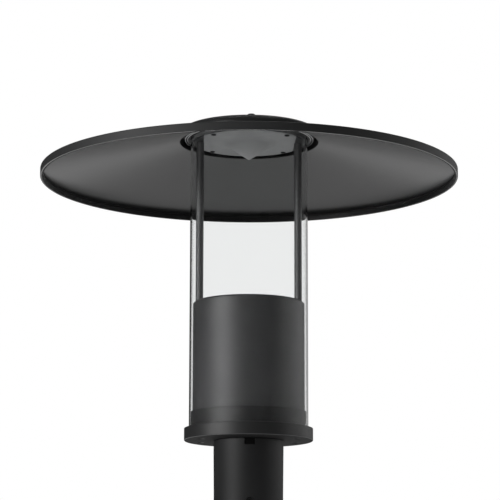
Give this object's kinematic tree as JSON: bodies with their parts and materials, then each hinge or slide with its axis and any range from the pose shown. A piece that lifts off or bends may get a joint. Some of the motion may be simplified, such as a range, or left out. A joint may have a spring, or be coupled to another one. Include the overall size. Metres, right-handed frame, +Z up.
{
  "type": "post top area light",
  "caption": "Dark post top luminaire: wide disc canopy over a clear glass tube with slim rods, gear housing, base flange and a slip-over neck for a round pole tenon.",
  "frame": {"origin": "centre of the tenon bore's mouth, at the neck's lower end", "axes": "+Z up along the pole's axis, -Y is the front with the key notch, +X to the right"},
  "size_m": [0.61, 0.61, 0.5796],
  "materials": {
    "graphite_coat": "dark graphite powder coat, semi-matt, fine orange peel",
    "satin_reflector": "satin anodised spun sheet",
    "raw_aluminium": "plain milled",
    "tube_glass": "clear, fire polished",
    "window_glass": "clear, tempered",
    "black_silicone": "matt",
    "black_nylon": "moulded, matt",
    "stainless": "plain stainless",
    "dark_screw": "black coated stainless",
    "white_board": "white, matt",
    "phosphor": "yellow phosphor",
    "driver_case": "potted case",
    "lead_jacket": "silicone jacket"
  },
  "bodies": {
    "lantern": {"pole_fitter": "graphite_coat", "base_flange": "graphite_coat", "gear_housing": "graphite_coat", "housing_deck": "graphite_coat", "window_bezel": "graphite_coat", "left_support_rod": "graphite_coat", "right_support_rod": "graphite_coat", "top_carrier": "graphite_coat", "cone_reflector": "satin_reflector", "led_heat_sink": "raw_aluminium", "driver_bracket": "raw_aluminium", "glass_cylinder": "tube_glass", "window_glass": "window_glass", "fitter_gasket": "black_silicone", "wire_grommet": "black_silicone", "lower_glass_gasket": "black_silicone", "upper_glass_gasket": "black_silicone", "window_gasket": "black_silicone", "anti_turn_key": "black_nylon", "surge_protector": "black_nylon", "fitter_bolts": "stainless", "ground_screw": "stainless", "base_screws": "stainless", "deck_screws": "stainless", "holder_screws": "stainless", "bezel_screws": "stainless", "bracket_screws": "stainless", "driver_screws": "stainless", "lower_rod_washers": "stainless", "lower_rod_nuts": "stainless", "upper_rod_washers": "stainless", "upper_rod_nuts": "stainless", "reflector_screws": "dark_screw", "led_board": "white_board", "emitter_holder": "white_board", "terminal_block": "white_board", "uplight_reflector": "white_board", "led_emitter": "phosphor", "led_driver": "driver_case", "led_leads": "lead_jacket"},
    "canopy": {"canopy": "graphite_coat", "canopy_gasket": "black_silicone", "canopy_washers": "dark_screw", "canopy_screws": "dark_screw"},
    "set_screw_1": {"set_screw_1": "dark_screw"},
    "set_screw_2": {"set_screw_2": "dark_screw"},
    "set_screw_3": {"set_screw_3": "dark_screw"}
  },
  "joints": [
    {"name": "canopy_lift", "type": "slide", "parent": "lantern", "child": "canopy", "axis": [0, 0, 1], "range_m": [0, 0.12]},
    {"name": "set_screw_1_travel", "type": "slide", "parent": "lantern", "child": "set_screw_1", "axis": [0, -1, 0], "range_m": [-0.004, 0.008]},
    {"name": "set_screw_2_travel", "type": "slide", "parent": "lantern", "child": "set_screw_2", "axis": [0.866, 0.5, 0], "range_m": [-0.004, 0.008]},
    {"name": "set_screw_3_travel", "type": "slide", "parent": "lantern", "child": "set_screw_3", "axis": [-0.866, 0.5, 0], "range_m": [-0.004, 0.008]}
  ]
}
